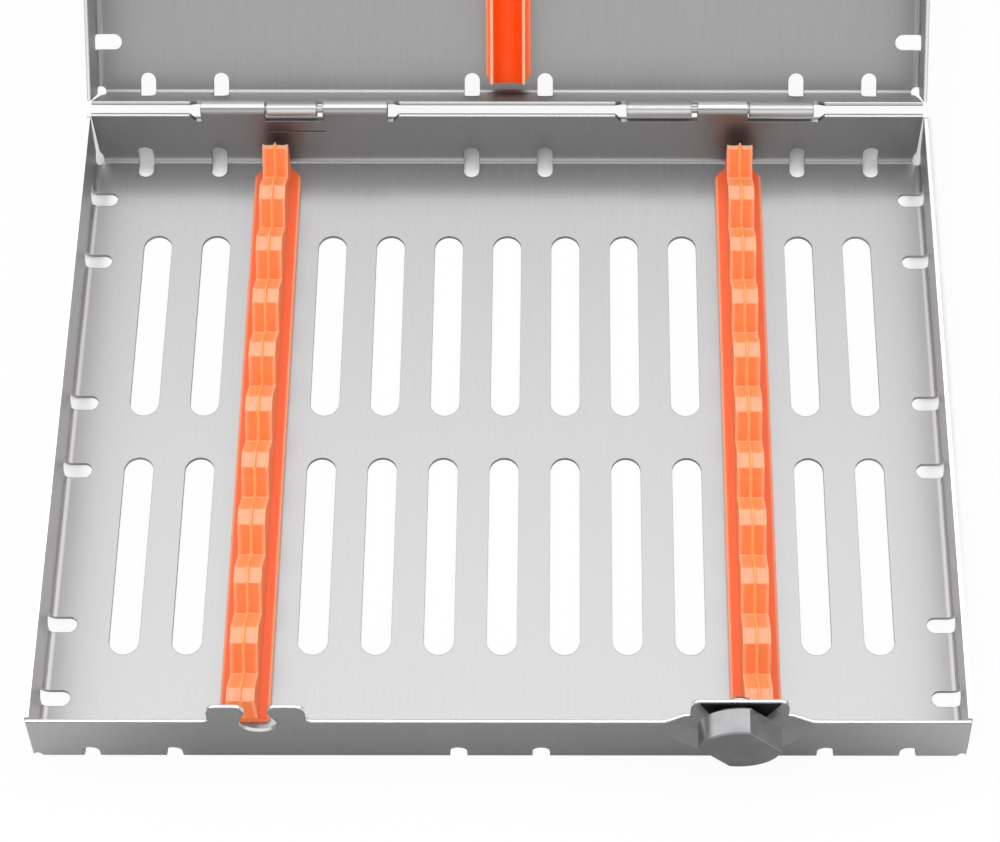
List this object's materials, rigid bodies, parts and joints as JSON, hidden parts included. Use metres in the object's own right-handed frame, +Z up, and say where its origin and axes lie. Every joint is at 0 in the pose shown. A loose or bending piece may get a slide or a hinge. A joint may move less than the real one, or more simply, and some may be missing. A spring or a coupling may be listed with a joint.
{
  "type": "dental instrument cassette",
  "caption": "Perforated steel sterilisation cassette: two hinged shallow trays with wave-topped silicone rails and quarter-turn knob latches, shown open.",
  "frame": {"origin": "middle of the lower tray's flat underside", "axes": "+X to the right and +Y away from the front wall towards the hinge, +Z up out of the lower tray; the front wall faces -Y"},
  "size_m": [0.1834, 0.2678, 0.1245],
  "materials": {
    "tray_steel": "fine satin stainless sheet",
    "pin_steel": "drawn stainless wire",
    "knob_steel": "turned stainless bar, lightly polished",
    "silicone": "translucent orange silicone, satin",
    "friction_black": "matte black low-friction sheet",
    "spring_steel": "spring steel, dull"
  },
  "bodies": {
    "base": {"base_tray": "tray_steel", "hinge_pin_left": "pin_steel", "hinge_pin_right": "pin_steel", "base_rail_left": "silicone", "base_rail_right": "silicone", "base_friction_plate": "friction_black", "base_spring_washer": "spring_steel"},
    "lid": {"lid_tray": "tray_steel", "lid_rail": "silicone", "lid_friction_plate": "friction_black", "lid_spring_washer": "spring_steel"},
    "base_latch": {"base_knob": "knob_steel", "base_rivet_cap": "knob_steel"},
    "lid_latch": {"lid_knob": "knob_steel", "lid_rivet_cap": "knob_steel"}
  },
  "joints": [
    {"name": "lid_hinge", "type": "hinge", "parent": "base", "child": "lid", "pos_m": [0, 0.0726, 0.0175], "axis": [-1, 0, 0], "range_deg": [-137.6, 42.4]},
    {"name": "base_knob_turn", "type": "hinge", "parent": "base", "child": "base_latch", "pos_m": [0.0462, -0.0718, 0.0175], "axis": [0, 1, 0], "range_deg": [0, 90]},
    {"name": "lid_knob_turn", "type": "hinge", "parent": "lid", "child": "lid_latch", "pos_m": [-0.0462, 0.17923, 0.11487], "axis": [0, -0.7385, -0.6743], "range_deg": [0, 90]}
  ]
}
